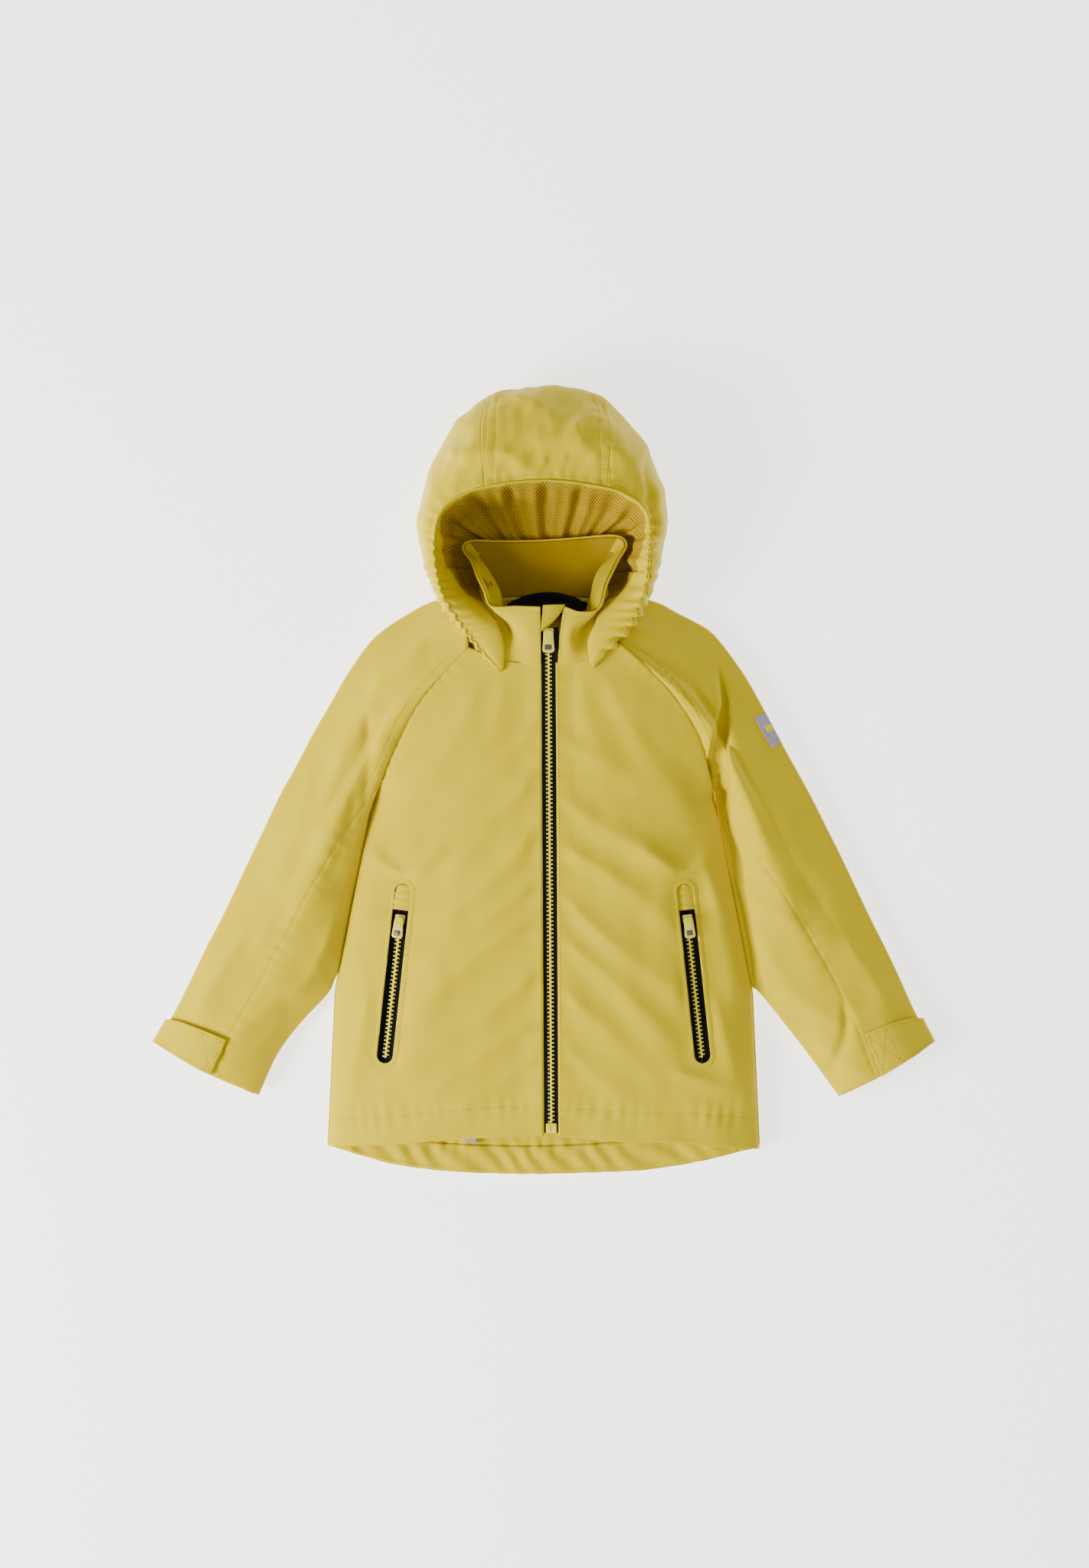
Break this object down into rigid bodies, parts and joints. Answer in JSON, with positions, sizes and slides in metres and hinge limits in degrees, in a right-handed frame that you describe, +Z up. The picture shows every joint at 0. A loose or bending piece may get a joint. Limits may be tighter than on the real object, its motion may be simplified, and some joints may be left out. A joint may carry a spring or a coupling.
{
  "type": "foul weather jacket",
  "caption": "Child's hooded rain jacket lying flat, with raglan sleeves, a moulded front zip, slanting zipped pockets, cuff tabs and a detachable hood.",
  "frame": {"origin": "On the floor, under the middle of the jacket's bounding box, as it lies on its back.", "axes": "+Z up, out of the chest; +Y from the hem towards the hood; +X towards the wearer's left."},
  "size_m": [0.7244, 0.7226, 0.1049],
  "materials": {
    "coated_yellow_fabric": "smooth water-repellent coated weave, satin matte",
    "yellow_lining": "smooth woven lining, matte",
    "net_lining": "open knitted net, matte",
    "black_zip_tape": "woven zip tape, matte",
    "moulded_yellow_teeth": "moulded, semi-gloss",
    "painted_yellow_metal": "cast and painted, semi-gloss",
    "grey_reflective": "retro-reflective film on cloth, satin",
    "black_trim": "woven trim, matte",
    "hook_and_loop": "hook-and-loop pile, matte",
    "elastic_binding": "gathered elastic binding, matte"
  },
  "bodies": {
    "torso": {"back_panel": "coated_yellow_fabric", "front_panel_right": "coated_yellow_fabric", "front_panel_left": "coated_yellow_fabric", "shoulder_right": "coated_yellow_fabric", "shoulder_left": "coated_yellow_fabric", "collar_front_right": "coated_yellow_fabric", "collar_front_left": "coated_yellow_fabric", "back_hem_facing": "coated_yellow_fabric", "hem_tag": "grey_reflective", "reflective_patch": "grey_reflective", "zip_tape_right": "black_zip_tape", "zip_tape_left": "black_zip_tape", "tooth_row_right": "moulded_yellow_teeth", "tooth_row_left": "moulded_yellow_teeth", "retaining_box": "moulded_yellow_teeth", "pocket_tape_right": "black_zip_tape", "pocket_tape_left": "black_zip_tape", "pocket_teeth_right": "moulded_yellow_teeth", "pocket_teeth_left": "moulded_yellow_teeth", "pocket_garage_right": "coated_yellow_fabric", "pocket_garage_left": "coated_yellow_fabric", "pocket_bag_right": "yellow_lining", "pocket_bag_left": "yellow_lining"},
    "hood": {"collar": "coated_yellow_fabric", "collar_lining": "yellow_lining", "chin_guard": "yellow_lining", "neck_facing": "black_trim", "hanger_loop": "black_trim", "hood_side_right": "coated_yellow_fabric", "hood_side_left": "coated_yellow_fabric", "hood_centre": "coated_yellow_fabric", "hood_lining_right": "net_lining", "hood_lining_left": "net_lining", "hood_lining_centre": "net_lining", "hood_binding": "elastic_binding"},
    "zip_slider": {"slider": "painted_yellow_metal"},
    "zip_puller": {"puller": "painted_yellow_metal"},
    "sleeve_right": {"sleeve_right": "coated_yellow_fabric", "tab_loop_patch_right": "hook_and_loop"},
    "tab_right": {"cuff_tab_right": "coated_yellow_fabric", "tab_hook_patch_right": "hook_and_loop"},
    "pocket_slider_right": {"pocket_slider_right": "painted_yellow_metal"},
    "pocket_puller_right": {"pocket_puller_right": "painted_yellow_metal"},
    "sleeve_left": {"sleeve_left": "coated_yellow_fabric", "tab_loop_patch_left": "hook_and_loop"},
    "tab_left": {"cuff_tab_left": "coated_yellow_fabric", "tab_hook_patch_left": "hook_and_loop"},
    "pocket_slider_left": {"pocket_slider_left": "painted_yellow_metal"},
    "pocket_puller_left": {"pocket_puller_left": "painted_yellow_metal"}
  },
  "joints": [
    {"name": "hood_lift", "type": "hinge", "parent": "torso", "child": "hood", "pos_m": [0, 0.146, 0.058], "axis": [1, 0, 0], "range_deg": [0, 30]},
    {"name": "zip_travel", "type": "slide", "parent": "torso", "child": "zip_slider", "axis": [0.0061, -0.9993, -0.036], "range_m": [0, 0.4388]},
    {"name": "puller_swing", "type": "hinge", "parent": "zip_slider", "child": "zip_puller", "pos_m": [0.00423, 0.13776, 0.06367], "axis": [-1, -0.0061, 0], "range_deg": [0, 150]},
    {"name": "sleeve_swing_right", "type": "hinge", "parent": "torso", "child": "sleeve_right", "pos_m": [-0.158, 0.037, 0.02], "axis": [0, 0, -1], "range_deg": [0, 35]},
    {"name": "tab_lift_right", "type": "hinge", "parent": "sleeve_right", "child": "tab_right", "pos_m": [-0.29624, -0.24949, 0.03432], "axis": [0.4571, 0.8894, 0], "range_deg": [0, 120]},
    {"name": "pocket_travel_right", "type": "slide", "parent": "torso", "child": "pocket_slider_right", "axis": [-0.108, -0.9938, -0.0264], "range_m": [0, 0.123]},
    {"name": "pocket_puller_swing_right", "type": "hinge", "parent": "pocket_slider_right", "child": "pocket_puller_right", "pos_m": [-0.13182, -0.12231, 0.03884], "axis": [-0.9736, 0.1111, -0.1994], "range_deg": [0, 150]},
    {"name": "sleeve_swing_left", "type": "hinge", "parent": "torso", "child": "sleeve_left", "pos_m": [0.158, 0.037, 0.02], "axis": [0, 0, 1], "range_deg": [0, 35]},
    {"name": "tab_lift_left", "type": "hinge", "parent": "sleeve_left", "child": "tab_left", "pos_m": [0.29624, -0.24949, 0.03432], "axis": [0.4571, -0.8894, 0], "range_deg": [0, 120]},
    {"name": "pocket_travel_left", "type": "slide", "parent": "torso", "child": "pocket_slider_left", "axis": [0.108, -0.9938, -0.0264], "range_m": [0, 0.123]},
    {"name": "pocket_puller_swing_left", "type": "hinge", "parent": "pocket_slider_left", "child": "pocket_puller_left", "pos_m": [0.13182, -0.12231, 0.03884], "axis": [-0.9736, -0.1111, 0.1994], "range_deg": [0, 150]}
  ]
}
